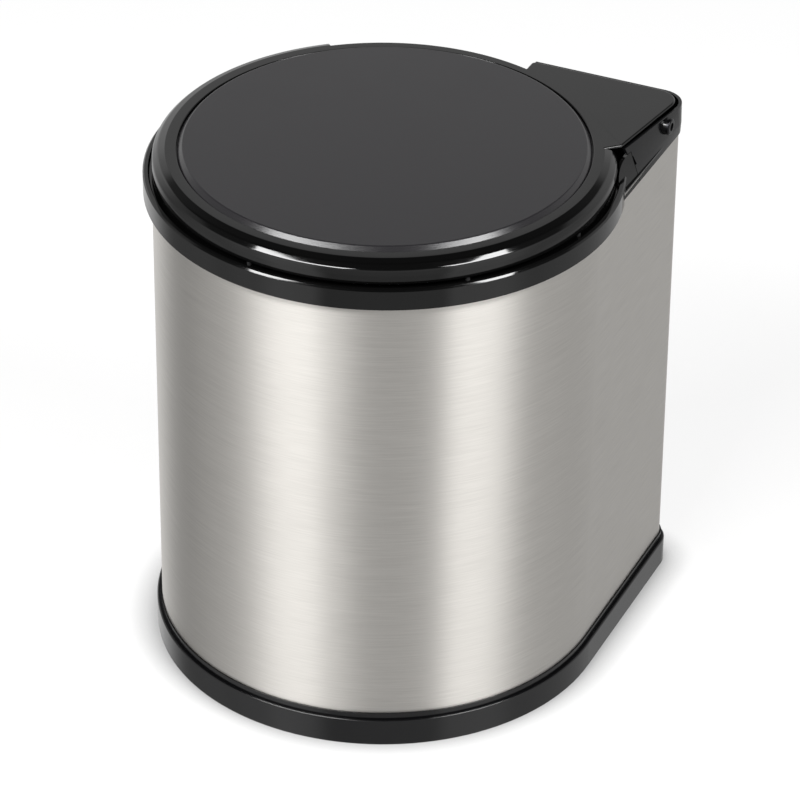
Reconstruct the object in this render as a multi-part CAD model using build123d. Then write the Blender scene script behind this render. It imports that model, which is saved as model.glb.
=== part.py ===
from build123d import *
from math import asin, cos, degrees, radians, sin
import os

# Driving sizes, in millimetres. The origin is on the floor, on the axis of the round part.
# The plan is a circle whose rear right quarter is filled out to a rounded corner.

# Steel shell
SHELL_R = 130.0
SHELL_WALL = 0.8
SHELL_CORNER_R = 14.0
SHELL_BOTTOM = 8.0
SHELL_HEIGHT = 290.1
SEAM_X = -40.0
SEAM_WIDTH = 16.0
SEAM_RIVETS = 7
SEAM_RIVET_R = 1.6

# Moulded base
BASE_OVERHANG = 3.0
BASE_HEIGHT = 16.5
BASE_LIP = 1.1
BASE_LIP_RISE = 3.8
BASE_INSIDE = 3.2
BASE_GRIP = 6.0
BASE_FLOOR = 3.0
BASE_RECESS = 3.0
BASE_HUB_R = 20.0
BASE_RIBS = 8
BASE_RIB_WIDTH = 2.0
BASE_RIB_RECESS = 0.5

# Rim ring round the top of the shell
RIM_OVERHANG = 5.0
RIM_LAP = 7.0
RIM_HEIGHT = 12.2
RIM_BEAD = 1.7
RIM_BEAD_WIDTH = 3.8
RIM_INSIDE = 3.6
RIM_SKIRT = 12.1
RIM_END_ANGLE = 24.0
REAR_WALL_END_ANGLE = 126.0
REAR_WALL = 2.4
REAR_WALL_RISE = 4.0

# Hinge housing at the rear right corner
HOUSING_HEIGHT = 17.9
HOUSING_GRIP = 2.3
HOUSING_BEND = 6.0
HOUSING_WALL = 1.9
HOUSING_LAP = 1.0
CHEEK_LEAN = 9.9
CHEEK_FRONT_INSET = 72.0
CHEEK_REAR_INSET = 13.0
POCKET_SKIRT = 19.1
POCKET_FLOOR_WALL = 2.0
POCKET_SKIRT_WALL = 1.8
POCKET_BORE_GAP = 3.0
LEDGE_WALL = 1.0
SLIT_WIDTH = 0.5
SLIT_INSET = 72.8
SLIT_LEAN = 5.1
NOSE_INSET = 72.3
TAB_LENGTH = 26.7
TAB_DROP = 3.2
TAB_FULLNESS = 0.74
MOUTH_DROP = 4.5
MOUTH_WIDTH = 1.3
MOUTH_HEIGHT = 4.5

# Lid
LID_CLEARANCE = 0.6
LID_PLATE = 2.0
LID_INSET = 5.0
LID_SHOULDER = 8.1
LID_SHOULDER_DROP = 5.6
LID_FLANGE = 6.1
LID_SKIRT_WALL = 2.0
LID_SKIRT_GAP = 2.4
PANEL_RISE = 1.8
PANEL_SINK = 1.9
PANEL_BEVEL = 3.1
SKIRT_END_ANGLE = 23.6
SKIRT_START_ANGLE = 129.6
EAR_LENGTH = 94.0
EAR_BACK_GAP = 3.8
EAR_FRONT_INSET = 10.5
EAR_SIDE_LENGTH = 73.5
EAR_REAR_INSET = 0.4
EAR_CORNER_R = 12.0

# Lid hinge
HINGE_DROP = 7.5
HINGE_INSET = 29.4
ROD_R = 2.0
ROD_HEAD_R = 4.8
ROD_HEAD_HEIGHT = 2.0
ROD_TAIL = 4.0
CLIP_R = 5.0
CLIP_WIDTH = 1.6
POST_INSET = 50.0
POST_WIDTH = 4.0
LUG_WIDTH = 4.0
LUG_INSET = 9.0
LUG_R = 4.4
BOSS_PROUD = 1.0
RUNNING_FIT = 0.05

# Inner bucket and its carrying handle
BUCKET_CLEARANCE = 14.5
BUCKET_DROP = 10.0
BUCKET_TAPER = 12.5
BUCKET_WALL = 1.6
BUCKET_LIP_WIDTH = 2.1
BUCKET_LIP = 7.0
BUCKET_FOOT = 5.0
BAIL_WIRE_R = 1.5
GRIP_R = 4.0
GRIP_LENGTH = 64.0
EAR_PLATE = 2.4
EAR_PLATE_R = 6.0

# Swing mounting behind the shell
SWING_INSET = 20.0
SWING_OFFSET = 11.0
SWING_PIN_R = 4.0
KNUCKLE_R = 7.0
KNUCKLE_HEIGHT = 3.0
PLATE_OFFSET = 19.5
PLATE_WALL = 2.0
PLATE_WIDTH = 95.0
PLATE_MARGIN = 24.0
PLATE_CORNER_R = 8.0
PLATE_WINDOW_SIDE = 28.0
PLATE_WINDOW_END = 55.0
PLATE_HOLE_R = 2.75
PLATE_HOLE_INSET = 14.0
PLATE_HOLE_SPACING_X = 56.0
PLATE_HOLE_SPACING_Z = 190.0
BRACKET_WALL = 2.0
BRACKET_HEIGHT = 28.0
BRACKET_WIDTH = 26.0
BRACKET_OFFSET = 8.0
BRACKET_SCREW_SPACING = 17.0
BRACKET_SCREW_DROP = 8.0
LOWER_BRACKET = 76.0
UPPER_BRACKET_DROP = 42.1
BACKING_WALL = 1.5
SCREW_R = 2.4
SCREW_HEAD_R = 4.4
SCREW_HEAD_HEIGHT = 2.4
SCREW_SOCKET_R = 1.5

# Named clearances
FIT = 0.2
GAP = 0.3
FACE = 0.02

# Places that follow from the sizes above
SHELL_TOP = SHELL_BOTTOM + SHELL_HEIGHT
BASE_LIP_TOP = BASE_HEIGHT + BASE_LIP_RISE
BUCKET_SEAT = BASE_RECESS + BASE_FLOOR
RIM_R = SHELL_R + RIM_OVERHANG
RIM_BOTTOM = SHELL_TOP - RIM_LAP
RIM_TOP = RIM_BOTTOM + RIM_HEIGHT
RIM_LEDGE = RIM_TOP - RIM_BEAD
RIM_SKIRT_BOTTOM = SHELL_TOP - RIM_SKIRT
REAR_WALL_TOP = RIM_TOP + REAR_WALL_RISE
HOUSING_BOTTOM = SHELL_TOP - HOUSING_GRIP
HOUSING_TOP = HOUSING_BOTTOM + HOUSING_HEIGHT
TAB_TOP = HOUSING_TOP - TAB_DROP
LEDGE_BOTTOM = SHELL_TOP + GAP
LEDGE_TOP = LEDGE_BOTTOM + LEDGE_WALL
POCKET_FLOOR = SHELL_TOP - POCKET_SKIRT
LID_UNDER = HOUSING_TOP + LID_CLEARANCE
LID_TOP = LID_UNDER + LID_PLATE
LID_SKIRT_R = RIM_R - LID_INSET
LID_FLANGE_R = LID_SKIRT_R - LID_SHOULDER
LID_SKIRT_BOTTOM = RIM_LEDGE + LID_SKIRT_GAP
PANEL_FOOT_R = LID_FLANGE_R - LID_FLANGE
PANEL_R = PANEL_FOOT_R - PANEL_BEVEL
PANEL_TOP = LID_TOP + PANEL_RISE
PANEL_SEAT = LID_TOP - PANEL_SINK
HINGE_Y = SHELL_R - HINGE_INSET
EAR_LEFT_X = SHELL_R - EAR_LENGTH
HINGE_Z = LID_TOP - HINGE_DROP
POST_X = SHELL_R - POST_INSET
BUCKET_RIM_R = SHELL_R - BUCKET_CLEARANCE
BUCKET_TOP_R = BUCKET_RIM_R - BUCKET_LIP_WIDTH
BUCKET_BOTTOM_R = BUCKET_TOP_R - BUCKET_TAPER
BUCKET_TOP = RIM_SKIRT_BOTTOM - BUCKET_DROP
BUCKET_BOTTOM = BUCKET_SEAT + GAP
BAIL_R = BUCKET_RIM_R - BAIL_WIRE_R
BAIL_Z = BUCKET_TOP + GAP + BAIL_WIRE_R
SWING_X = SHELL_R - SWING_INSET
SWING_Y = SHELL_R + SWING_OFFSET
BRACKET_X = SWING_X - BRACKET_OFFSET
BRACKETS = {"lower_pivot_bracket": LOWER_BRACKET, "upper_pivot_bracket": SHELL_TOP - UPPER_BRACKET_DROP}
PLATE_RIGHT_X = SWING_X + KNUCKLE_R
PLATE_BOTTOM = LOWER_BRACKET - PLATE_MARGIN
PLATE_TOP = BRACKETS["upper_pivot_bracket"] + PLATE_MARGIN + GAP
BEYOND = 3 * SHELL_R + SHELL_HEIGHT


def outline(radius, corner):
    """Plan of the bin: a circle with its rear right quarter filled out to a rounded corner."""
    straight = radius - corner
    side = Line((radius, 0), (radius, straight))
    turn = CenterArc((straight, straight), corner, 0, 90)
    back = Line((straight, radius), (0, radius))
    round_part = CenterArc((0, 0), radius, 90, 270)
    return make_face([side, turn, back, round_part])


def slab(offset, low, high):
    """Solid with the bin's plan, set out from the shell's outer face by an offset."""
    face = outline(SHELL_R + offset, SHELL_CORNER_R + offset)
    return Pos(0, 0, low) * extrude(face, high - low)


def box(low, high):
    """Box between two corners."""
    size = [b - a for a, b in zip(low, high)]
    centre = [(a + b) / 2 for a, b in zip(low, high)]
    return Pos(*centre) * Box(*size)


def turned(points, start=0.0, arc=360.0):
    """Ring turned about the vertical axis from a profile of radius and height."""
    face = make_face(Plane.XZ * Polyline(*points, close=True))
    return Rot(0, 0, start) * revolve(face, Axis.Z, arc)


def along_x(x0, x1, y, z, radius):
    """Round bar along X."""
    return Pos((x0 + x1) / 2, y, z) * Rot(0, 90, 0) * Cylinder(radius, x1 - x0)


def along_y(x, y0, y1, z, radius):
    """Round bar along Y."""
    return Pos(x, (y0 + y1) / 2, z) * Rot(90, 0, 0) * Cylinder(radius, y1 - y0)


def upright(x, y, z0, z1, radius):
    """Round bar along Z."""
    return Pos(x, y, (z0 + z1) / 2) * Cylinder(radius, z1 - z0)


def together(shapes):
    """One part from several shapes."""
    result = shapes[0]
    for shape in shapes[1:]:
        result = result + shape
    return result


def through_wall(x, z, radius):
    """Round cut through the back wall of the shell and all that lies on it."""
    depth = POCKET_SKIRT_WALL + BACKING_WALL + BRACKET_WALL + SHELL_WALL
    return along_y(x, SHELL_R - 2 * depth, SHELL_R + depth, z, radius)


# Steel shell: one bent sheet, closed at the back by a riveted strip


def screw_places():
    """Places of the bracket screws on the back wall, as X and Z."""
    half = BRACKET_SCREW_SPACING / 2
    return [(BRACKET_X + side * half, height - BRACKET_SCREW_DROP)
            for height in BRACKETS.values() for side in (-1, 1)]


def housing_screw_places():
    """Places of the screws that hold the hinge housing, as X and Z."""
    z = SHELL_TOP - POCKET_SKIRT / 2
    left = SHELL_CORNER_R
    right = SHELL_R - 2 * SHELL_CORNER_R
    return [(left + i * (right - left) / 2, z) for i in range(3)]


def rivet_heights():
    """Heights of the rivets in the seam."""
    low = BASE_LIP_TOP + SEAM_WIDTH
    high = RIM_BOTTOM - SEAM_WIDTH
    step = (high - low) / (SEAM_RIVETS - 1)
    return [low + i * step for i in range(SEAM_RIVETS)]


def seam_frame(height):
    """Frame on the round back of the shell, at the seam, with its local Z pointing outwards."""
    y = (SHELL_R ** 2 - SEAM_X ** 2) ** 0.5
    return Plane(origin=(SEAM_X, y, height), x_dir=(0, 0, 1), z_dir=(SEAM_X, y, 0))


def steel_shell():
    shell = slab(0, SHELL_BOTTOM, SHELL_TOP) - slab(-SHELL_WALL, 0, BEYOND)
    for x, z in screw_places() + housing_screw_places():
        shell -= through_wall(x, z, SCREW_R + RUNNING_FIT)
    for z in rivet_heights():
        shell -= seam_frame(z) * Cylinder(SEAM_RIVET_R + RUNNING_FIT, 10 * SHELL_WALL)
    return shell


def seam_strip():
    arc = degrees(SEAM_WIDTH / SHELL_R)
    start = 90 + degrees(asin(-SEAM_X / SHELL_R)) - arc / 2
    inner = SHELL_R + FACE
    outer = inner + SHELL_WALL
    low = BASE_LIP_TOP + GAP
    high = RIM_BOTTOM - GAP
    strip = turned([(inner, low), (outer, low), (outer, high), (inner, high)], start, arc)
    for z in rivet_heights():
        strip -= seam_frame(z) * Cylinder(SEAM_RIVET_R + RUNNING_FIT, 10 * SHELL_WALL)
    return strip


def seam_rivets():
    head = 0.9
    tail = 1.2
    rivets = []
    for z in rivet_heights():
        face = seam_frame(z)
        shank = face * Cylinder(SEAM_RIVET_R, 2 * SHELL_WALL + head + tail)
        outside = face * Pos(0, 0, SHELL_WALL + 3 * FACE + head / 2) * Cylinder(2 * SEAM_RIVET_R, head)
        inside = face * Pos(0, 0, -SHELL_WALL - 10 * FACE - tail / 2) * Cylinder(1.5 * SEAM_RIVET_R, tail)
        rivets.append(shank + outside + inside)
    return Compound(rivets)


# Base: a ring that grips the sheet's lower edge, with a floor that carries the bucket


def base_tray():
    tray = slab(BASE_OVERHANG, 0, BASE_HEIGHT)
    tray = fillet(tray.edges().group_by(Axis.Z)[-1], 1.0)
    tray += slab(BASE_LIP, BASE_HEIGHT - 1, BASE_LIP_TOP)
    tray -= slab(-BASE_INSIDE, BUCKET_SEAT, BEYOND)
    tray -= slab(FIT, SHELL_BOTTOM + BASE_GRIP, BEYOND)
    groove = slab(FIT, SHELL_BOTTOM - FIT, BEYOND) - slab(-SHELL_WALL - FIT, 0, BEYOND)
    tray -= groove
    tray -= slab(-BASE_INSIDE, -1, BASE_RECESS)
    reach = SHELL_R - BASE_INSIDE + 1
    half = BASE_RIB_WIDTH / 2
    top = BASE_RECESS + BASE_FLOOR / 2
    ribs = [upright(0, 0, 0, top, BASE_HUB_R)]
    for i in range(BASE_RIBS):
        rib = box((BASE_HUB_R - 1, -half, BASE_RIB_RECESS), (reach, half, top))
        ribs.append(Rot(0, 0, i * 360 / BASE_RIBS) * rib)
    return tray + together(ribs)


# Walls of the hinge housing: the lower edge follows the sheet, and the cheek leans in at its front
# end, where its upper edge follows the round lid


def station(z):
    """Side wall X at its front and rear stations, and back wall Y, at a height."""
    heights = (HOUSING_BOTTOM, HOUSING_BOTTOM + HOUSING_BEND, HOUSING_TOP)
    flush = SHELL_R + HOUSING_LAP
    rows = ((flush, flush, flush), (flush - CHEEK_LEAN / 3, flush + GAP, flush + GAP),
            (flush - CHEEK_LEAN, flush + GAP, flush + GAP))
    k = 0 if z < heights[1] else 1
    t = (z - heights[k]) / (heights[k + 1] - heights[k])
    return [a + (b - a) * t for a, b in zip(rows[k], rows[k + 1])]


def side_x(z, y):
    """X of the cheek's outer face at a height and a place along the side."""
    x_front, x_rear, _ = station(z)
    y_front = SHELL_R - CHEEK_FRONT_INSET
    y_rear = SHELL_R - CHEEK_REAR_INSET
    return x_front + (x_rear - x_front) * (y - y_front) / (y_rear - y_front)


def wall_section(z, inset, y_front, x_left):
    """Plan of the housing at a height, drawn in from its outer face by an inset."""
    y_back = station(z)[2] - inset
    face = make_face(Polyline((x_left, y_front), (side_x(z, y_front) - inset, y_front),
                              (side_x(z, y_back) - inset, y_back), (x_left, y_back), close=True))
    corner = face.vertices().sort_by(lambda v: v.X + v.Y)[-1]
    return Pos(0, 0, z) * fillet(corner, SHELL_CORNER_R + HOUSING_LAP - inset)


def flared_walls():
    """Outer walls of the housing, from the front tab round the corner to the left end."""
    bend = HOUSING_BOTTOM + HOUSING_BEND
    front = SHELL_R - SLIT_INSET - TAB_LENGTH - SHELL_CORNER_R
    outer = loft([wall_section(z, 0, front, 0) for z in (HOUSING_BOTTOM, bend, HOUSING_TOP)],
                 ruled=True)
    inner = loft([wall_section(z, HOUSING_WALL, 0, -SHELL_CORNER_R) for z in (LEDGE_TOP, bend, HOUSING_TOP)],
                 ruled=True)
    inner += extrude(wall_section(HOUSING_TOP, HOUSING_WALL, 0, -SHELL_CORNER_R), LID_CLEARANCE)
    walls = outer - inner
    walls -= slab(-SHELL_WALL - FIT - POCKET_SKIRT_WALL, 0, LEDGE_TOP)
    return walls - slab(FIT, 0, LEDGE_BOTTOM)


def slit_zone(side, shift=0.0):
    """Block in front of (side -1) or behind (side 1) the slanting joint line of the cheek."""
    y_low = SHELL_R - SLIT_INSET + shift
    lean = SLIT_LEAN / HOUSING_HEIGHT
    low = HOUSING_BOTTOM - HOUSING_HEIGHT
    high = HOUSING_TOP + HOUSING_HEIGHT
    far = BEYOND * side
    points = [(y_low - lean * HOUSING_HEIGHT, low), (y_low + 2 * lean * HOUSING_HEIGHT, high),
              (far, high), (far, low)]
    face = make_face(Plane.YZ * Polyline(*points, close=True))
    return Pos(POST_X, 0, 0) * extrude(face, BEYOND, dir=(1, 0, 0))


def cheek_tab():
    """Front end of the cheek, a fin that rises from the rim ring in a curved edge."""
    start = (SHELL_R - SLIT_INSET - TAB_LENGTH, HOUSING_BOTTOM - 1)
    end = (SHELL_R - SLIT_INSET + SLIT_LEAN, TAB_TOP)
    middle = (start[0] + TAB_LENGTH / 2, HOUSING_BOTTOM + TAB_FULLNESS * (TAB_TOP - HOUSING_BOTTOM))
    edge = ThreePointArc(start, middle, end)
    rest = Polyline(end, (BEYOND, end[1]), (BEYOND, start[1]), start)
    keep = Pos(POST_X, 0, 0) * extrude(make_face(Plane.YZ * (edge + rest)), BEYOND, dir=(1, 0, 0))
    fin = (flared_walls() & slit_zone(-1, -SLIT_WIDTH)) & keep
    return fin - upright(0, 0, LEDGE_TOP + FIT, BEYOND, LID_SKIRT_R + 2 * GAP)


def rim_ring():
    sheet_in = SHELL_R - SHELL_WALL - FIT
    sheet_out = SHELL_R + FIT
    inner = SHELL_R - RIM_INSIDE
    bead_in = RIM_R - RIM_BEAD_WIDTH
    soft = 0.9
    profile = [(inner, RIM_SKIRT_BOTTOM), (sheet_in, RIM_SKIRT_BOTTOM), (sheet_in, LEDGE_BOTTOM),
               (sheet_out, LEDGE_BOTTOM), (sheet_out, RIM_BOTTOM), (RIM_R, RIM_BOTTOM),
               (RIM_R, RIM_TOP - soft), (RIM_R - soft, RIM_TOP), (bead_in + soft, RIM_TOP),
               (bead_in, RIM_LEDGE), (inner, RIM_LEDGE)]
    ring = turned(profile, 90, 270 + RIM_END_ANGLE)
    wall_in = RIM_R - REAR_WALL
    rear = [(wall_in, RIM_LEDGE - 1), (RIM_R, RIM_LEDGE - 1), (RIM_R, REAR_WALL_TOP - soft),
            (RIM_R - soft, REAR_WALL_TOP), (wall_in, REAR_WALL_TOP)]
    ring += turned(rear, 90, REAR_WALL_END_ANGLE - 90)
    ring -= slab(FIT, 0, LEDGE_BOTTOM) - slab(-SHELL_WALL - FIT, 0, BEYOND)
    well = slab(-RIM_INSIDE, 0, BEYOND)
    link = slab(-SHELL_WALL - FIT, RIM_SKIRT_BOTTOM, LEDGE_BOTTOM) - well
    link += slab(2 * FIT, LEDGE_BOTTOM, LEDGE_TOP) - upright(0, 0, 0, BEYOND, inner + FIT)
    side = slit_zone(-1, -SLIT_WIDTH) & box((POST_X, SHELL_R / 5, 0), (BEYOND, BEYOND, BEYOND))
    return ring + (link & side) + cheek_tab()


def hinge_housing():
    skirt_out = -SHELL_WALL - FIT
    skirt_in = skirt_out - POCKET_SKIRT_WALL
    behind = slit_zone(1) + box((GAP, SHELL_R / 2, 0), (POST_X + 1, BEYOND, BEYOND))
    behind += box((POST_X, SHELL_R - NOSE_INSET, TAB_TOP + GAP), (BEYOND, BEYOND, BEYOND))
    well = slab(skirt_in, 0, BEYOND)
    body = flared_walls() + (slab(skirt_out, POCKET_FLOOR, LEDGE_BOTTOM) - well)
    body += slab(2 * FIT, LEDGE_BOTTOM, LEDGE_TOP) - well
    floor = slab(skirt_out, POCKET_FLOOR, POCKET_FLOOR + POCKET_FLOOR_WALL)
    body += floor - upright(0, 0, 0, BEYOND, BUCKET_RIM_R + POCKET_BORE_GAP)
    body = body & behind
    body -= box((-BEYOND, SHELL_R / 2, REAR_WALL_TOP), (EAR_LEFT_X, BEYOND, BEYOND))
    post = along_x(POST_X, POST_X + POST_WIDTH, HINGE_Y, HINGE_Z, LUG_R)
    post += box((POST_X, HINGE_Y - LUG_R, POCKET_FLOOR + POCKET_FLOOR_WALL / 2),
                (POST_X + POST_WIDTH, HINGE_Y + LUG_R, HINGE_Z))
    body += post
    cheek = side_x(HINGE_Z, HINGE_Y)
    body += along_x(cheek - HOUSING_WALL - 1.5, cheek + BOSS_PROUD, HINGE_Y, HINGE_Z, LUG_R)
    body -= along_x(0, BEYOND, HINGE_Y, HINGE_Z, ROD_R + RUNNING_FIT)
    mouth_z = TAB_TOP - MOUTH_DROP
    mouth_y = SHELL_R - SLIT_INSET + SLIT_LEAN * (mouth_z - HOUSING_BOTTOM) / HOUSING_HEIGHT
    body -= box((POST_X + POST_WIDTH, mouth_y - MOUTH_WIDTH, mouth_z - MOUTH_HEIGHT / 2),
                (BEYOND, mouth_y + MOUTH_WIDTH, mouth_z + MOUTH_HEIGHT / 2))
    for x, z in housing_screw_places():
        body -= through_wall(x, z, SCREW_R)
    return body


def housing_screws():
    screws = []
    tip = SHELL_R - SHELL_WALL - FIT - POCKET_SKIRT_WALL - 2.5
    for x, z in housing_screw_places():
        shank = along_y(x, tip, SHELL_R + 1, z, SCREW_R - RUNNING_FIT)
        head = along_y(x, SHELL_R + FACE, SHELL_R + SCREW_HEAD_HEIGHT, z, SCREW_HEAD_R)
        socket = along_y(x, SHELL_R + SCREW_HEAD_HEIGHT / 2, BEYOND, z, SCREW_SOCKET_R)
        screws.append(shank + head - socket)
    return Compound(screws)


# Lid bumpers: rubber pads on the rim's ledge, on which the lid's skirt comes down


def lid_bumpers():
    radius = LID_SKIRT_R - LID_SKIRT_WALL
    pads = []
    for angle in (150, 205, 260, 315, 350):
        x = radius * cos(radians(angle))
        y = radius * sin(radians(angle))
        pads.append(upright(x, y, RIM_LEDGE, LID_SKIRT_BOTTOM - GAP, 1.3))
    return Compound(pads)


# Lid: a dished plate with a rolled shoulder and skirt, and an ear that reaches the hinge


def ear_plate():
    """Flat ear of the lid over the squared corner."""
    left = EAR_LEFT_X
    back = SHELL_R - EAR_BACK_GAP
    front = (SHELL_R - EAR_FRONT_INSET, SHELL_R - EAR_SIDE_LENGTH)
    root_angle = radians(SKIRT_END_ANGLE)
    root_r = LID_FLANGE_R + 0.4
    root = (root_r * cos(root_angle), root_r * sin(root_angle))
    inside = (PANEL_R * cos(radians(50)), PANEL_R * sin(radians(50)))
    start = (left, (LID_FLANGE_R ** 2 - left ** 2) ** 0.5 - 4)
    outer = (SHELL_R - EAR_REAR_INSET, back)
    face = make_face(Polyline(start, (left, back), outer, front, root, inside, close=True))
    corner = face.vertices().sort_by(lambda v: v.X + v.Y)[-1]
    face = fillet(corner, EAR_CORNER_R)
    return Pos(0, 0, LID_UNDER) * extrude(face, LID_PLATE)


def lug_places():
    """Left faces of the two hinge lugs under the lid's ear."""
    return [POST_X + POST_WIDTH + 2, side_x(HINGE_Z, HINGE_Y) - LUG_INSET - LUG_WIDTH]


def shoulder():
    """Rolled shoulder and skirt of the lid, as a profile of radius and height."""
    wall = LID_SKIRT_WALL
    bend = LID_TOP - LID_SHOULDER_DROP
    top = LID_TOP - FACE
    root = LID_FLANGE_R - 0.4
    in_r = LID_SKIRT_R - wall
    crest = (LID_SKIRT_R - LID_SHOULDER / 4, top - LID_SHOULDER_DROP / 3)
    outside = [Line((root, top), (LID_FLANGE_R, top)),
               ThreePointArc((LID_FLANGE_R, top), crest, (LID_SKIRT_R, bend)),
               Line((LID_SKIRT_R, bend), (LID_SKIRT_R, LID_SKIRT_BOTTOM))]
    inside = [Line((LID_SKIRT_R, LID_SKIRT_BOTTOM), (in_r, LID_SKIRT_BOTTOM)),
              Line((in_r, LID_SKIRT_BOTTOM), (in_r, bend)),
              ThreePointArc((in_r, bend), (in_r - LID_SHOULDER / 5, LID_UNDER - LID_SHOULDER_DROP / 4),
                            (root, LID_UNDER)),
              Line((root, LID_UNDER), (root, top))]
    return make_face(Plane.XZ * Wire(outside + inside))


def lid_shell():
    recess = PANEL_FOOT_R + GAP
    bottom = PANEL_SEAT - LID_PLATE
    soft = 0.3
    rim = LID_FLANGE_R + 0.6
    plate = turned([(0, bottom), (0, PANEL_SEAT), (recess, PANEL_SEAT), (recess, LID_TOP - soft),
                    (recess + soft, LID_TOP), (LID_FLANGE_R, LID_TOP), (rim, LID_TOP - 0.6),
                    (rim, LID_UNDER), (recess + LID_PLATE, LID_UNDER), (recess + LID_PLATE / 3, bottom)])
    arc = 360 + SKIRT_END_ANGLE - SKIRT_START_ANGLE
    skirt = Rot(0, 0, SKIRT_START_ANGLE) * revolve(shoulder(), Axis.Z, arc)
    lid = plate + skirt + (ear_plate() - upright(0, 0, 0, BEYOND, recess + LID_PLATE))
    for x in lug_places():
        lid += along_x(x, x + LUG_WIDTH, HINGE_Y, HINGE_Z, LUG_R)
        lid += box((x, HINGE_Y - LUG_R, HINGE_Z),
                   (x + LUG_WIDTH, HINGE_Y + LUG_R, LID_UNDER + LID_PLATE / 4))
    return lid - along_x(0, BEYOND, HINGE_Y, HINGE_Z, ROD_R + RUNNING_FIT)


def lid_panel():
    seat = PANEL_SEAT + FACE
    soft = 0.3
    return turned([(0, seat), (PANEL_FOOT_R, seat), (PANEL_FOOT_R, seat + 0.6),
                   (PANEL_R + soft, PANEL_TOP - soft), (PANEL_R - soft, PANEL_TOP), (0, PANEL_TOP)])


def hinge_rod():
    face_x = side_x(HINGE_Z, HINGE_Y) + BOSS_PROUD + RUNNING_FIT
    rod = along_x(POST_X - ROD_TAIL, face_x + 1, HINGE_Y, HINGE_Z, ROD_R)
    head = along_x(face_x, face_x + ROD_HEAD_HEIGHT, HINGE_Y, HINGE_Z, ROD_HEAD_R)
    head = fillet(head.edges().group_by(Axis.X)[-1], ROD_HEAD_HEIGHT / 2)
    socket = along_x(face_x + ROD_HEAD_HEIGHT / 2, BEYOND, HINGE_Y, HINGE_Z, ROD_HEAD_R / 2)
    return rod + head - socket


def rod_clip():
    right = POST_X - GAP
    clip = along_x(right - CLIP_WIDTH, right, HINGE_Y, HINGE_Z, CLIP_R)
    return clip - along_x(0, BEYOND, HINGE_Y, HINGE_Z, ROD_R + FACE)


# Inner bucket, its wire handle and the grip on the wire


def inner_bucket():
    wall = BUCKET_WALL
    foot = BUCKET_BOTTOM
    floor = foot + 1.5
    lip = BUCKET_TOP - BUCKET_LIP
    soft = 0.8
    ring_in = BUCKET_BOTTOM_R - BUCKET_FOOT
    bucket = turned([(0, floor), (ring_in - 1, floor), (ring_in, foot),
                     (BUCKET_BOTTOM_R - 2, foot), (BUCKET_BOTTOM_R, foot + 3),
                     (BUCKET_TOP_R, BUCKET_TOP - wall), (BUCKET_RIM_R - wall, BUCKET_TOP - wall),
                     (BUCKET_RIM_R - wall, lip), (BUCKET_RIM_R, lip),
                     (BUCKET_RIM_R, BUCKET_TOP - soft), (BUCKET_RIM_R - soft, BUCKET_TOP),
                     (BUCKET_TOP_R - wall, BUCKET_TOP), (BUCKET_BOTTOM_R - wall, foot + 4),
                     (BUCKET_BOTTOM_R - 2 * wall, floor + wall), (0, floor + wall)])
    half = GRIP_LENGTH / 2 + EAR_PLATE_R
    bucket -= box((-half, -SHELL_R, BAIL_Z - GRIP_R - GAP), (half, -BUCKET_BOTTOM_R / 2, BEYOND))
    inside = BUCKET_RIM_R + GAP
    outside = inside + EAR_PLATE
    for side in (-1, 1):
        for low_x, top in ((BUCKET_RIM_R - wall, BUCKET_TOP - soft), (inside, BAIL_Z)):
            x0, x1 = sorted((side * low_x, side * outside))
            bucket += box((x0, -EAR_PLATE_R, lip), (x1, EAR_PLATE_R, top))
        x0, x1 = sorted((side * inside, side * outside))
        bucket += along_x(x0, x1, 0, BAIL_Z, EAR_PLATE_R)
    return bucket - along_x(-BEYOND, BEYOND, 0, BAIL_Z, BAIL_WIRE_R + RUNNING_FIT)


def bail_handle():
    path = CenterArc((0, 0, BAIL_Z), BAIL_R, 180, 180)
    wire = sweep(Plane(origin=path @ 0, z_dir=path % 0) * Circle(BAIL_WIRE_R), path)
    knob = BUCKET_RIM_R + 2 * GAP + EAR_PLATE
    for side in (-1, 1):
        x0, x1 = sorted((side * BAIL_R, side * (knob + 0.8)))
        wire += along_x(x0, x1, 0, BAIL_Z, BAIL_WIRE_R)
        wire += Pos(side * BAIL_R, 0, BAIL_Z) * Sphere(BAIL_WIRE_R)
        x0, x1 = sorted((side * knob, side * (knob + 0.8)))
        wire += along_x(x0, x1, 0, BAIL_Z, 1.6 * BAIL_WIRE_R)
    return wire


def bail_grip():
    half = degrees(GRIP_LENGTH / 2 / BAIL_R)
    path = CenterArc((0, 0, BAIL_Z), BAIL_R, 270 - half, 2 * half)
    start = Plane(origin=path @ 0, z_dir=path % 0)
    return sweep(start * (Circle(GRIP_R) - Circle(BAIL_WIRE_R + FACE)), path)


# Swing mounting: brackets on the bin, pins and wall plate on the cabinet


def pivot_bracket(height):
    face = SHELL_R + FACE
    half = BRACKET_WIDTH / 2
    high = height + BRACKET_HEIGHT / 4
    bracket = box((BRACKET_X - half, face, high - BRACKET_HEIGHT),
                  (BRACKET_X + half, face + BRACKET_WALL, high))
    top = height + KNUCKLE_HEIGHT
    bracket += upright(SWING_X, SWING_Y, height, top, KNUCKLE_R)
    bracket += box((SWING_X - KNUCKLE_R, face, height), (SWING_X + KNUCKLE_R, SWING_Y, top))
    bracket -= upright(SWING_X, SWING_Y, height - 1, top + 1, SWING_PIN_R + RUNNING_FIT)
    for x, z in screw_places():
        bracket -= through_wall(x, z, SCREW_R + RUNNING_FIT)
    return bracket


def backing_plate():
    outer = SHELL_R - SHELL_WALL - FACE
    half = BRACKET_WIDTH / 2
    low = LOWER_BRACKET - BRACKET_HEIGHT
    plate = box((BRACKET_X - half, outer - BACKING_WALL, low),
                (BRACKET_X + half, outer, POCKET_FLOOR - GAP))
    for x, z in screw_places():
        plate -= through_wall(x, z, SCREW_R + RUNNING_FIT)
    return plate


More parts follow.
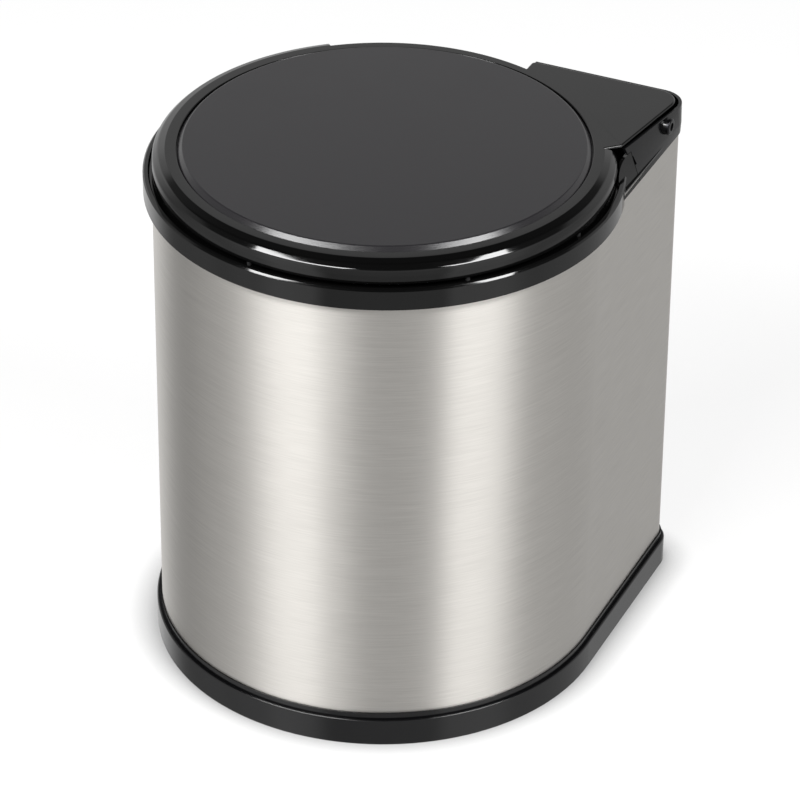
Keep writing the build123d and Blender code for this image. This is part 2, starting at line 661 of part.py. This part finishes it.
def bracket_screws():
    face = SHELL_R + 2 * FACE + BRACKET_WALL
    inner = SHELL_R - SHELL_WALL - 2 * FACE - BACKING_WALL
    nut = 2.5
    screws = []
    for x, z in screw_places():
        screw = along_y(x, inner - nut - 0.5, face + 1, z, SCREW_R)
        screw += along_y(x, face, face + SCREW_HEAD_HEIGHT, z, SCREW_HEAD_R)
        screw += along_y(x, inner - nut, inner, z, SCREW_HEAD_R)
        screw -= along_y(x, face + SCREW_HEAD_HEIGHT / 2, BEYOND, z, SCREW_SOCKET_R)
        screws.append(screw)
    return Compound(screws)


def plate_hole_places():
    """Screw holes of the wall plate, as X and Z."""
    x0 = PLATE_RIGHT_X - PLATE_WIDTH + PLATE_HOLE_INSET
    middle = (PLATE_TOP + PLATE_BOTTOM) / 2
    half = PLATE_HOLE_SPACING_Z / 2
    return [(x, z) for x in (x0, x0 + PLATE_HOLE_SPACING_X) for z in (middle - half, middle + half)]


def wall_plate():
    front = SHELL_R + PLATE_OFFSET
    height = PLATE_TOP - PLATE_BOTTOM
    face = RectangleRounded(PLATE_WIDTH, height, PLATE_CORNER_R)
    window = RectangleRounded(PLATE_WIDTH - 2 * PLATE_WINDOW_SIDE, height - 2 * PLATE_WINDOW_END,
                              PLATE_CORNER_R)
    middle = Plane(origin=(PLATE_RIGHT_X - PLATE_WIDTH / 2, front, PLATE_BOTTOM + height / 2),
                   x_dir=(1, 0, 0), z_dir=(0, -1, 0))
    plate = extrude(middle * (face - Pos(-KNUCKLE_R / 2, 0) * window), -PLATE_WALL)
    for z in BRACKETS.values():
        top = z - GAP
        low = top - KNUCKLE_HEIGHT
        plate += upright(SWING_X, SWING_Y, low, top, KNUCKLE_R)
        plate += box((SWING_X - KNUCKLE_R, SWING_Y, low), (SWING_X + KNUCKLE_R, front + PLATE_WALL / 2, top))
        plate -= upright(SWING_X, SWING_Y, low - 1, top + 1, SWING_PIN_R + FACE)
    for x, z in plate_hole_places():
        plate -= along_y(x, front - 1, BEYOND, z, PLATE_HOLE_R)
    return plate


def pivot_pin(height):
    low = height - GAP - KNUCKLE_HEIGHT
    head = 2.5
    pin = upright(SWING_X, SWING_Y, low - 1, height + 2.5 * KNUCKLE_HEIGHT, SWING_PIN_R)
    pin = chamfer(pin.edges().group_by(Axis.Z)[-1], SWING_PIN_R / 4)
    return pin + upright(SWING_X, SWING_Y, low - head, low - FACE, SWING_PIN_R + 1.6)


def parts():
    """Every piece of the bin by its node's name."""
    pieces = {
        "steel_shell": steel_shell(),
        "seam_strip": seam_strip(),
        "seam_rivets": seam_rivets(),
        "base_tray": base_tray(),
        "rim_ring": rim_ring(),
        "hinge_housing": hinge_housing(),
        "housing_screws": housing_screws(),
        "lid_bumpers": lid_bumpers(),
        "hinge_rod": hinge_rod(),
        "rod_clip": rod_clip(),
        "lid_shell": lid_shell(),
        "lid_panel": lid_panel(),
        "inner_bucket": inner_bucket(),
        "bail_handle": bail_handle(),
        "bail_grip": bail_grip(),
        "backing_plate": backing_plate(),
        "bracket_screws": bracket_screws(),
        "wall_plate": wall_plate(),
    }
    for name, height in BRACKETS.items():
        pieces[name] = pivot_bracket(height)
        pieces[name.replace("bracket", "pin")] = pivot_pin(height)
    return pieces


os.makedirs("parts", exist_ok=True)
for node, shape in parts().items():
    export_step(shape, "parts/" + node + ".step")
    print(node, round(shape.volume / 1000, 2), "cm3")
print("lid hinge at", HINGE_Y, HINGE_Z, "bail at", BAIL_Z, "swing pivot at", SWING_X, SWING_Y)
print("plate holes at", plate_hole_places())
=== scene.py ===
# %% [markdown]
# # A swing-out waste bin for a kitchen cabinet
# The bin is a bent steel sheet between a moulded base and a moulded rim. A black lid lies on the rim,
# and its ear reaches back over a squared corner, where it turns on a steel rod. The CAD model gives
# every piece its place and size. This scene gives the pieces their finish, and remakes the lid, whose
# edges catch the light, because a rounded edge is what makes gloss plastic look moulded.

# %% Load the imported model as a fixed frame
from math import atan2, cos, degrees, pi, radians, sin, tan

import bmesh
import bpy
from mathutils import Matrix, Vector


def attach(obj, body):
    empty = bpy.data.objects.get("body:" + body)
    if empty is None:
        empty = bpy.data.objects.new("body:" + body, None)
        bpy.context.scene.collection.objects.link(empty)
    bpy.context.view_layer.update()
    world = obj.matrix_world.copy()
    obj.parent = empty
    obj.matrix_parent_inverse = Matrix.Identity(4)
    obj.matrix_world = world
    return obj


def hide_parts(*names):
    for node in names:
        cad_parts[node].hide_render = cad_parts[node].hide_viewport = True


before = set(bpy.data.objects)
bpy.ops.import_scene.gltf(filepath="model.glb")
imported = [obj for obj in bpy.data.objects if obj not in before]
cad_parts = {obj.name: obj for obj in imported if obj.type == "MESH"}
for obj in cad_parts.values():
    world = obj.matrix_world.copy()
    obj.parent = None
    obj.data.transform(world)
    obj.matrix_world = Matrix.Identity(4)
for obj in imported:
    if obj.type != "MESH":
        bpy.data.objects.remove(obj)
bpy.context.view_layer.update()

# %% [markdown]
# ## Colours and nodes
# Colours are written as sRGB hex values, as they look on a screen, and one function turns them into
# the linear values that the shaders want. One small function adds a node with its settings and links,
# so that each material below reads as a short list of what it is made of.

# %% Helpers for materials


def srgb(code):
    """Linear colour of an sRGB hex value."""
    channels = [int(code[i:i + 2], 16) / 255 for i in (1, 3, 5)]
    return [c / 12.92 if c <= 0.04045 else ((c + 0.055) / 1.055) ** 2.4 for c in channels] + [1.0]


def add(tree, kind, inputs=None, **settings):
    """Add one node: settings are its properties, inputs are its sockets' values or links."""
    node = tree.nodes.new(kind)
    for name, value in settings.items():
        setattr(node, name, value)
    for name, value in (inputs or {}).items():
        if isinstance(value, bpy.types.NodeSocket):
            tree.links.new(value, node.inputs[name])
        else:
            node.inputs[name].default_value = value
    return node


def start_material(name):
    """Empty material, its node tree, and the object's own coordinates in metres."""
    material = bpy.data.materials.new(name)
    material.use_nodes = True
    tree = material.node_tree
    tree.nodes.clear()
    place = add(tree, "ShaderNodeTexCoord").outputs["Object"]
    return material, tree, place


def finish_material(tree, shader):
    add(tree, "ShaderNodeOutputMaterial", {"Surface": shader.outputs["BSDF"]})


def per_metre(size_mm):
    """How many times a pattern of this size repeats in a metre."""
    return 1000 / size_mm


# %% [markdown]
# ## Brushed stainless steel
# The sheet is ferritic stainless steel that a belt has brushed along its length, so its scratches run
# round the bin. Each scratch is a tiny groove that spreads the light upwards and downwards but hardly
# sideways: that is why the lamps show as tall soft stripes. The shader's anisotropy does this, and a
# noise that is stretched along the scratches breaks it up. Real scratches are about 0.1 mm wide. Here
# they are drawn 0.7 mm wide, because finer ones wouldn't show at this picture's size.

# %% Brushed stainless steel
SCRATCH_WIDTH = 0.7
SCRATCH_LENGTH = 26

steel, tree, place = start_material("brushed_stainless_sheet")
along = per_metre(SCRATCH_LENGTH)
across = per_metre(SCRATCH_WIDTH)
stretched = add(tree, "ShaderNodeMapping", {"Vector": place, "Scale": (along, along, across)})
scratches = add(tree, "ShaderNodeTexNoise", {"Vector": stretched.outputs["Vector"], "Scale": 1.0,
                                             "Detail": 3.0, "Roughness": 0.6})
clouds = add(tree, "ShaderNodeTexNoise", {"Vector": place, "Scale": per_metre(60), "Detail": 2.0})
tint = add(tree, "ShaderNodeMix", {"Factor": scratches.outputs["Fac"], "A": srgb("#BFBCB7"),
                                   "B": srgb("#DAD7D2")}, data_type="RGBA")
gloss = add(tree, "ShaderNodeMapRange", {"Value": clouds.outputs["Fac"], "To Min": 0.33, "To Max": 0.38})
groove = add(tree, "ShaderNodeBump", {"Height": scratches.outputs["Fac"], "Strength": 0.2,
                                      "Distance": 0.0002})
round_the_bin = add(tree, "ShaderNodeTangent", direction_type="RADIAL", axis="Z")
shader = add(tree, "ShaderNodeBsdfPrincipled", {
    "Base Color": tint.outputs["Result"], "Metallic": 1.0, "Roughness": gloss.outputs["Result"],
    "Anisotropic": 0.95, "Anisotropic Rotation": 0.25, "Normal": groove.outputs["Normal"],
    "Tangent": round_the_bin.outputs["Tangent"]})
finish_material(tree, shader)

# %% [markdown]
# ## Moulded black plastics
# The rim and the lid are glossy injection-moulded ABS: the steel mould was polished, and what is left
# is a slight waviness of a few millimetres and some fine scuffs from handling. The base and the hinge
# housing come from a mould that was only drawn with a stone, so they are a little duller. The lid's
# raised disc comes from a mould with a fine spark-eroded grain, which gives a soft, even sheen instead
# of a mirror image. The grain is about 0.1 mm on a real lid and is drawn at 0.8 mm to show at all.

# %% Black plastics


def black_plastic(name, colour, roughness, spread, grain_mm, grain_depth):
    """Moulded black ABS: an even colour, a grain or waviness of a given size, and soft scuffs."""
    material, tree, place = start_material(name)
    grain = add(tree, "ShaderNodeTexNoise", {"Vector": place, "Scale": per_metre(grain_mm),
                                             "Detail": 2.0})
    scuffs = add(tree, "ShaderNodeTexNoise", {"Vector": place, "Scale": per_metre(35), "Detail": 4.0})
    dull = add(tree, "ShaderNodeMapRange", {
        "Value": scuffs.outputs["Fac"], "From Min": 0.3, "From Max": 0.7,
        "To Min": roughness - spread, "To Max": roughness + spread})
    relief = add(tree, "ShaderNodeBump", {"Height": grain.outputs["Fac"], "Strength": 0.15,
                                          "Distance": grain_depth / 1000})
    shader = add(tree, "ShaderNodeBsdfPrincipled", {
        "Base Color": srgb(colour), "Roughness": dull.outputs["Result"], "IOR": 1.45,
        "Normal": relief.outputs["Normal"]})
    finish_material(tree, shader)
    return material


gloss_abs = black_plastic("polished_mould_abs", "#050505", 0.07, 0.02, 9, 0.04)
semi_abs = black_plastic("drawn_stone_mould_abs", "#080809", 0.17, 0.03, 1.5, 0.04)
satin_abs = black_plastic("grained_mould_abs", "#1C1B1D", 0.24, 0.02, 0.8, 0.05)

# %% [markdown]
# ## The other pieces' finishes
# The bucket is grey polypropylene, waxy and slightly rough. Wire, brackets and screws are steel with
# bright zinc plating, whose crystals show as faint blotches. The rivets are plain aluminium, and the
# pads under the lid are rubber. Only the hinge rod's head shows from the front: it is steel that was
# blackened, so it disappears in the black cheek.

# %% Polypropylene, zinc, aluminium, rubber and blackened steel
grey_pp, tree, place = start_material("moulded_polypropylene")
grain = add(tree, "ShaderNodeTexNoise", {"Vector": place, "Scale": per_metre(1.2), "Detail": 3.0})
relief = add(tree, "ShaderNodeBump", {"Height": grain.outputs["Fac"], "Strength": 0.25,
                                      "Distance": 0.00008})
tint = add(tree, "ShaderNodeMix", {"Factor": grain.outputs["Fac"], "A": srgb("#6E7073"),
                                   "B": srgb("#76787B")}, data_type="RGBA")
shader = add(tree, "ShaderNodeBsdfPrincipled", {"Base Color": tint.outputs["Result"], "Roughness": 0.46,
                                                "IOR": 1.49, "Normal": relief.outputs["Normal"]})
finish_material(tree, shader)

zinc, tree, place = start_material("bright_zinc_plated_steel")
blotches = add(tree, "ShaderNodeTexVoronoi", {"Vector": place, "Scale": per_metre(3.0)})
rough = add(tree, "ShaderNodeMapRange", {"Value": blotches.outputs["Distance"], "To Min": 0.26,
                                         "To Max": 0.42})
tint = add(tree, "ShaderNodeMix", {"Factor": blotches.outputs["Distance"], "A": srgb("#B9BDC2"),
                                   "B": srgb("#C7C9CB")}, data_type="RGBA")
shader = add(tree, "ShaderNodeBsdfPrincipled", {"Base Color": tint.outputs["Result"], "Metallic": 1.0,
                                                "Roughness": rough.outputs["Result"]})
finish_material(tree, shader)

aluminium, tree, place = start_material("drawn_aluminium")
haze = add(tree, "ShaderNodeTexNoise", {"Vector": place, "Scale": per_metre(0.8), "Detail": 3.0})
rough = add(tree, "ShaderNodeMapRange", {"Value": haze.outputs["Fac"], "To Min": 0.3, "To Max": 0.45})
shader = add(tree, "ShaderNodeBsdfPrincipled", {"Base Color": srgb("#D6D6D8"), "Metallic": 1.0,
                                                "Roughness": rough.outputs["Result"]})
finish_material(tree, shader)

rubber, tree, place = start_material("moulded_rubber")
haze = add(tree, "ShaderNodeTexNoise", {"Vector": place, "Scale": per_metre(0.6), "Detail": 2.0})
rough = add(tree, "ShaderNodeMapRange", {"Value": haze.outputs["Fac"], "To Min": 0.7, "To Max": 0.85})
shader = add(tree, "ShaderNodeBsdfPrincipled", {"Base Color": srgb("#1B1B1C"), "IOR": 1.5,
                                                "Roughness": rough.outputs["Result"]})
finish_material(tree, shader)

black_oxide, tree, place = start_material("blackened_steel_rod")
haze = add(tree, "ShaderNodeTexNoise", {"Vector": place, "Scale": per_metre(0.7), "Detail": 3.0})
rough = add(tree, "ShaderNodeMapRange", {"Value": haze.outputs["Fac"], "To Min": 0.26, "To Max": 0.4})
shader = add(tree, "ShaderNodeBsdfPrincipled", {"Base Color": srgb("#2A2A2C"), "Metallic": 1.0,
                                                "Roughness": rough.outputs["Result"]})
finish_material(tree, shader)

# %% Give every CAD node its finish
FINISHES = {
    steel: ["steel_shell", "seam_strip"],
    aluminium: ["seam_rivets"],
    gloss_abs: ["rim_ring", "lid_shell"],
    semi_abs: ["base_tray", "hinge_housing"],
    satin_abs: ["lid_panel"],
    rubber: ["lid_bumpers"],
    grey_pp: ["inner_bucket", "bail_grip"],
    black_oxide: ["hinge_rod"],
    zinc: ["housing_screws", "rod_clip", "bail_handle", "backing_plate", "bracket_screws",
           "lower_pivot_bracket", "upper_pivot_bracket", "wall_plate", "lower_pivot_pin",
           "upper_pivot_pin"],
}
for material, names in FINISHES.items():
    for name in names:
        for place_in_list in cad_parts[name].material_slots:
            place_in_list.material = material
print("finished", sum(len(names) for names in FINISHES.values()), "of", len(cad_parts), "nodes")

# %% [markdown]
# ## Turned pieces with rounded edges
# The lid is one moulding: a dished plate with a flat flange, a rolled shoulder and a skirt. A mould has
# no sharp edges, and on gloss plastic each rounded edge shows as a thin bright line. So the lid's
# profile is written as corners with radii, in millimetres, and turned about the bin's axis. The same
# could be done with a Screw modifier, but rows of points also serve for the ear and the lugs below.

# %% Helpers for shapes


def rounded(corners, steps=5):
    """Closed outline through corners, each given as two coordinates and the radius of its rounding."""
    points = []
    for i, (u, v, radius) in enumerate(corners):
        here = Vector((u, v))
        back = Vector(corners[i - 1][:2]) - here
        on = Vector(corners[(i + 1) % len(corners)][:2]) - here
        if not radius:
            points.append(here)
            continue
        half = back.angle(on) / 2
        cut = min(radius / tan(half), 0.49 * back.length, 0.49 * on.length)
        middle = here + (back.normalized() + on.normalized()).normalized() * (cut / cos(half))
        first = here + back.normalized() * cut - middle
        last = here + on.normalized() * cut - middle
        sweep = first.angle(last)
        for k in range(steps + 1):
            share = sweep * k / steps
            points.append(middle + (first * sin(sweep - share) + last * sin(share)) / sin(sweep))
    return points


def skin(name, node, material, rows, closed=False, body="lid"):
    """Smooth piece through rows of points in mm; every row is a closed loop, open ends get a face."""
    shape = bmesh.new()
    grid = [[shape.verts.new(Vector(point) / 1000) for point in row] for row in rows]
    following = grid[1:] + grid[:1] if closed else grid[1:]
    for row, other in zip(grid, following):
        for i in range(len(row)):
            shape.faces.new((row[i - 1], row[i], other[i], other[i - 1]))
    if not closed:
        shape.faces.new(grid[0])
        shape.faces.new(grid[-1])
    bmesh.ops.remove_doubles(shape, verts=shape.verts, dist=1e-6)
    bmesh.ops.recalc_face_normals(shape, faces=shape.faces)
    mesh = bpy.data.meshes.new(name)
    shape.to_mesh(mesh)
    shape.free()
    for face in mesh.polygons:
        face.use_smooth = True
    mesh.set_sharp_from_angle(angle=radians(40))
    mesh.materials.append(material)
    piece = bpy.data.objects.new(name, mesh)
    bpy.context.scene.collection.objects.link(piece)
    even = piece.modifiers.new("even_shading", "WEIGHTED_NORMAL")
    even.keep_sharp = True
    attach(piece, body)
    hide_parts(node)
    return piece


def turned(profile, first, last, steps):
    """Rows of a profile (radius, height) turned from one angle in degrees to another."""
    angles = [radians(first + (last - first) * k / steps) for k in range(steps + 1)]
    if last - first == 360:
        angles.pop()
    return [[(r * cos(a), r * sin(a), z) for r, z in profile] for a in angles]


# %% The lid's disc
LID_TOP = 316.3
DISC_SEAT = 314.42
DISC_TOP = 318.1
DISC_FOOT_R = 115.7
DISC_R = 112.9
disc = rounded([(0, DISC_SEAT, 0), (DISC_FOOT_R, DISC_SEAT, 0.2), (DISC_FOOT_R, 315.1, 0.3),
                (DISC_R, DISC_TOP, 1.1), (0, DISC_TOP, 0)])
skin("lid_disc", "lid_panel", satin_abs, turned(disc, 0, 360, 240), closed=True)

# %% [markdown]
# ## The lid's dish, shoulder and skirt
# The dish is a full turn. The shoulder and the skirt end where the ear begins, at 23.6 and 129.6
# degrees round from the right side, so they are a second piece that starts on the flange.

# %% The lid's dish, shoulder and skirt
FLANGE_R = 121.5
SKIRT_START, SKIRT_END = 129.6, 383.6
dish = rounded([(0, 312.4, 0), (117.0, 312.4, 0.6), (118.2, 314.3, 0.5), (FLANGE_R, 314.3, 0),
                (FLANGE_R, LID_TOP, 0), (116.1, LID_TOP, 0.5), (116.1, 314.4, 0.2), (0, 314.4, 0)])
skin("lid_dish", "lid_shell", gloss_abs, turned(dish, 0, 360, 240), closed=True)
skirt = rounded([(FLANGE_R, LID_TOP - 0.01, 0), (122.4, LID_TOP - 0.01, 0.7), (126.6, 315.0, 3.4),
                 (129.4, 312.2, 3.4), (130.0, 309.2, 1.6), (130.0, 304.05, 0.6), (128.0, 304.05, 0.5),
                 (128.0, 310.0, 3.0), (125.6, 313.0, 3.0), (FLANGE_R, 314.31, 0)])
skin("lid_skirt", "lid_shell", gloss_abs, turned(skirt, SKIRT_START, SKIRT_END, 200))

# %% [markdown]
# ## The ear
# The ear is flat, as thick as the lid's plate, and follows the squared corner. Its outline starts on
# the flange, runs round the corner and comes back to the flange, so only the outer edge is rounded.
# Each row of points is the same outline, drawn in a little at the top and the bottom.

# %% The lid's ear
EAR_LEFT, EAR_BACK, EAR_RIGHT = 36.0, 126.2, 129.6
corner = rounded([(EAR_LEFT, 116.1, 0), (EAR_LEFT, EAR_BACK, 2.5), (EAR_RIGHT, EAR_BACK, 12),
                  (119.5, 56.5, 0.8), (111.4, 48.8, 0)], steps=10)
inner_edge = [Vector((FLANGE_R * cos(a), FLANGE_R * sin(a)))
              for a in (radians(23.8 + 48.9 * k / 40) for k in range(41))]
outline = corner + inner_edge


def drawn_in(loop, distance, fixed):
    """The loop moved inwards by a distance, apart from its last fixed points."""
    moved = []
    for i, here in enumerate(loop):
        back = (here - loop[i - 1]).normalized()
        on = (loop[(i + 1) % len(loop)] - here).normalized()
        normal = Vector((back.y + on.y, -back.x - on.x)) / (1 + back.dot(on))
        moved.append(here if i >= len(loop) - fixed else here + normal * distance)
    return moved


EAR_STEPS = 12
EDGE_R = 1.0
rows = []
for k in range(EAR_STEPS + 1):
    turn = pi * k / EAR_STEPS
    height = LID_TOP - EDGE_R - cos(turn) * EDGE_R
    rows.append([(p.x, p.y, height) for p in drawn_in(outline, EDGE_R - EDGE_R * sin(turn), len(inner_edge))])
skin("lid_ear", "lid_shell", gloss_abs, rows)

# %% [markdown]
# ## The lugs
# Two lugs hang under the ear and turn on the rod. Each is a ring round the bore, whose upper half is
# square so that it reaches the plate. A ring of four points is carried once round the rod's axis.

# %% The lid's lugs on the rod
ROD_Y, ROD_Z = 100.6, 308.8
LUG_R, BORE_R, LUG_WIDTH = 4.4, 2.05, 4
LUG_TOP = 315.0
LUGS = (86.0, 116.2)
LUG_STEPS = 64
for number, left in enumerate(LUGS, 1):
    rows = []
    for k in range(LUG_STEPS):
        turn = 2 * pi * k / LUG_STEPS
        reach = LUG_R
        if sin(turn) > 0:
            reach = min(LUG_R / max(abs(cos(turn)), 1e-6), (LUG_TOP - ROD_Z) / sin(turn))
        right = left + LUG_WIDTH
        rows.append([(x, ROD_Y + r * cos(turn), ROD_Z + r * sin(turn))
                     for x, r in ((left, BORE_R), (left, reach), (right, reach), (right, BORE_R))])
    skin(f"lid_lug_{number}", "lid_shell", gloss_abs, rows, closed=True)

# %% [markdown]
# ## Floor, world and lamps
# A product picture is taken on a white sweep. The world is plain white where the camera looks, and the
# floor is lit by the lamps and glows a little as well, as paper that is lit from behind. So much light
# would wash out the soft dark line where the bin stands, so that line is a painted contact shadow: the
# glow is dimmed within 20 mm of the base, as far as the base hides the floor there.
# What the steel and the gloss plastic mirror is the studio: bright walls left and right of the camera,
# a dark ceiling, and two wide, low soft boxes that draw the thin streaks on the lid's edges.

# %% Camera
CAMERA_PLACE = Vector((0.87563, -1.9279, 1.50479))
RIGHT = Vector((0.91022, 0.41404, 0.00816))
UP = Vector((-0.22965, 0.48825, 0.84194))
BACK = Vector((0.34462, -0.76823, 0.5395))
FOCAL_PIXELS = 4356.0
FRAME_PIXELS = 800

camera = bpy.data.objects.new("camera", bpy.data.cameras.new("camera"))
bpy.context.scene.collection.objects.link(camera)
turn = Matrix((RIGHT, UP, BACK)).transposed()
camera.matrix_world = Matrix.Translation(CAMERA_PLACE) @ turn.to_4x4()
camera.data.sensor_width = 36
camera.data.lens = FOCAL_PIXELS / FRAME_PIXELS * camera.data.sensor_width
camera.data.clip_end = 100
bpy.context.scene.camera = camera
camera_azimuth = atan2(CAMERA_PLACE.y, CAMERA_PLACE.x)
print("lens", round(camera.data.lens, 1), "mm, azimuth", round(degrees(camera_azimuth), 1))

# %% Floor
mesh = bpy.data.meshes.new("floor")
half = 12.0
mesh.from_pydata([(-half, -half, 0), (half, -half, 0), (half, half, 0), (-half, half, 0)], [],
                 [(0, 1, 2, 3)])
floor = bpy.data.objects.new("floor", mesh)
bpy.context.scene.collection.objects.link(floor)
paper, tree, place = start_material("white_paper_sweep")
seen = add(tree, "ShaderNodeLightPath")
lit = add(tree, "ShaderNodeBsdfDiffuse", {"Color": srgb("#C8C8C8")})
# Painted contact shadow: ambient occlusion within 20 mm of the base dims the floor's glow.
painted_contact_shadow = add(tree, "ShaderNodeAmbientOcclusion", {"Distance": 0.02}, samples=12)
glow = add(tree, "ShaderNodeMapRange", {"Value": painted_contact_shadow.outputs["AO"], "From Min": 0.45, "From Max": 1.0,
                                        "To Min": 0.3, "To Max": 1.42})
bright = add(tree, "ShaderNodeEmission", {"Color": (1, 1, 1, 1), "Strength": glow.outputs["Result"]})
share = add(tree, "ShaderNodeMath", {0: seen.outputs["Is Camera Ray"], 1: 0.5}, operation="MULTIPLY")
mixed = add(tree, "ShaderNodeMixShader", {"Fac": share.outputs["Value"], 1: lit.outputs["BSDF"],
                                          2: bright.outputs["Emission"]})
add(tree, "ShaderNodeOutputMaterial", {"Surface": mixed.outputs["Shader"]})
mesh.materials.append(paper)
floor.visible_glossy = False

# %% World
world = bpy.data.worlds.new("studio")
bpy.context.scene.world = world
world.use_nodes = True
tree = world.node_tree
tree.nodes.clear()


def ramp(value, stops, mode="EASE"):
    """Grey value along a line of stops; each stop is a place from 0 to 1 and a grey."""
    node = add(tree, "ShaderNodeValToRGB", {"Fac": value})
    node.color_ramp.interpolation = mode
    elements = node.color_ramp.elements
    while len(elements) < len(stops):
        elements.new(0.5)
    for element, (place, grey) in zip(elements, stops):
        element.position = place
        element.color = (grey, grey, grey, 1)
    return node.outputs["Color"]


direction = add(tree, "ShaderNodeTexCoord").outputs["Generated"]
axes = add(tree, "ShaderNodeSeparateXYZ", {"Vector": direction})
angle = add(tree, "ShaderNodeMath", {0: axes.outputs["Y"], 1: axes.outputs["X"]}, operation="ARCTAN2")
from_camera = add(tree, "ShaderNodeMath", {0: angle.outputs["Value"], 1: camera_azimuth},
                  operation="SUBTRACT")
wrapped = add(tree, "ShaderNodeMath", {0: from_camera.outputs["Value"], 1: pi, 2: -pi},
              operation="WRAP")
around = add(tree, "ShaderNodeMapRange", {"Value": wrapped.outputs["Value"], "From Min": -pi,
                                          "From Max": pi})
height = add(tree, "ShaderNodeMath", {0: axes.outputs["Z"]}, operation="ARCSINE")
rise = add(tree, "ShaderNodeMapRange", {"Value": height.outputs["Value"], "From Min": -pi / 2,
                                        "From Max": pi / 2})


def at(azimuth):
    """Place on the azimuth ramp of an angle right of the camera."""
    return (azimuth + 180) / 360


def lift(elevation):
    """Place on the elevation ramp of an angle above the floor."""
    return (elevation + 90) / 180


walls = ramp(around.outputs["Result"], [
    (at(-180), 0.55), (at(-145), 0.75), (at(-118), 0.28), (at(-85), 0.48), (at(-66), 0.65), (at(-50), 0.95),
    (at(-36), 0.9), (at(-26), 0.42), (at(0), 0.46), (at(27), 0.48), (at(35), 0.86), (at(55), 0.87),
    (at(78), 0.5), (at(110), 0.45), (at(180), 0.55)])
levels = ramp(rise.outputs["Result"], [
    (lift(-90), 0.42), (lift(-30), 0.42), (lift(0), 0.5), (lift(22), 0.62), (lift(29), 0.45),
    (lift(34), 0.08), (lift(50), 0.03), (lift(90), 0.008)])
studio = add(tree, "ShaderNodeMath", {0: walls, 1: levels}, operation="MULTIPLY")
STUDIO_BRIGHTNESS = 2.75
studio = add(tree, "ShaderNodeMath", {0: studio.outputs["Value"], 1: STUDIO_BRIGHTNESS},
             operation="MULTIPLY")
seen = add(tree, "ShaderNodeLightPath")
glow = add(tree, "ShaderNodeMix", {"Factor": seen.outputs["Is Camera Ray"], "A": studio.outputs["Value"],
                                   "B": 1.0}, data_type="FLOAT")
background = add(tree, "ShaderNodeBackground", {"Color": (1, 1, 1, 1),
                                                "Strength": glow.outputs["Result"]})
add(tree, "ShaderNodeOutputWorld", {"Surface": background.outputs["Background"]})

# %% Lamps


def soft_box(name, azimuth, elevation, width, tall, distance, radiance):
    """Rectangular soft box that faces the bin; azimuth is the angle right of the camera.

    All angles are in degrees, its width and height as seen from the bin."""
    lamp = bpy.data.lights.new(name, "AREA")
    lamp.shape = "RECTANGLE"
    lamp.size = 2 * distance * tan(radians(width / 2))
    lamp.size_y = 2 * distance * tan(radians(tall / 2))
    lamp.energy = radiance * pi * lamp.size * lamp.size_y
    holder = bpy.data.objects.new(name, lamp)
    bpy.context.scene.collection.objects.link(holder)
    turn = camera_azimuth + radians(azimuth)
    up = radians(elevation)
    out = Vector((cos(turn) * cos(up), sin(turn) * cos(up), sin(up)))
    holder.location = out * distance + Vector((0, 0, 0.2))
    holder.rotation_euler = out.to_track_quat("Z", "Y").to_euler()
    return holder


BOX_DISTANCE = 2.0
BOX_RADIANCE = 26.0
soft_box("left_soft_box", -44, 45, 39, 12, BOX_DISTANCE, BOX_RADIANCE)
soft_box("right_soft_box", 51, 45, 26, 12, BOX_DISTANCE, BOX_RADIANCE)

# %% Close
bpy.context.scene.view_settings.view_transform = "Standard"
